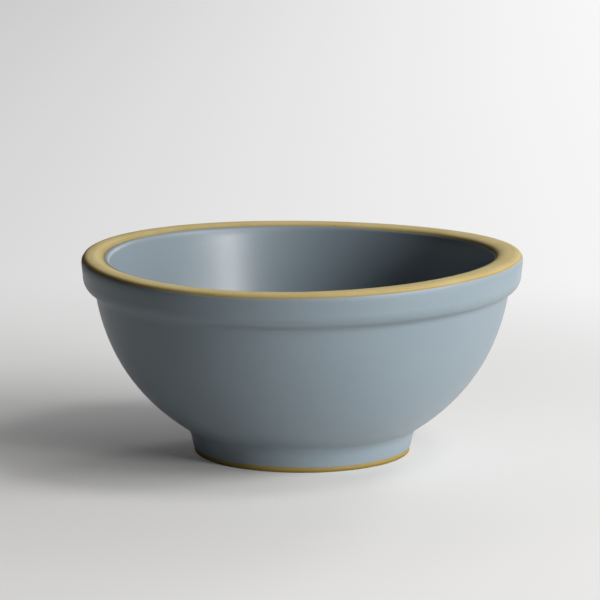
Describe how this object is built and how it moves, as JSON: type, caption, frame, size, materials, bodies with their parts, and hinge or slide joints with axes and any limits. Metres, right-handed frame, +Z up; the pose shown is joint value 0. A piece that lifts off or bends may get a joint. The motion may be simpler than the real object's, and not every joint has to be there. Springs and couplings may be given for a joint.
{
  "type": "cereal bowl",
  "caption": "Round stoneware cereal bowl with a thick banded rim of bare ochre clay, a satin blue-grey glaze inside and out, and a foot ring to stand on.",
  "frame": {"origin": "centre of the foot ring's bottom face, on the surface that the bowl stands on", "axes": "+Z up along the turning axis, from the foot to the rim; X and Y lie in the resting plane, and the picture looks along +Y"},
  "size_m": [0.152, 0.152, 0.0694],
  "materials": {
    "bare_stoneware": "matte",
    "inside_glaze": "satin",
    "outside_glaze": "satin",
    "base_glaze": "satin"
  },
  "bodies": {
    "root": {"stoneware_body": "bare_stoneware", "inside_glaze": "inside_glaze", "outside_glaze": "outside_glaze", "base_glaze": "base_glaze"}
  },
  "joints": []
}
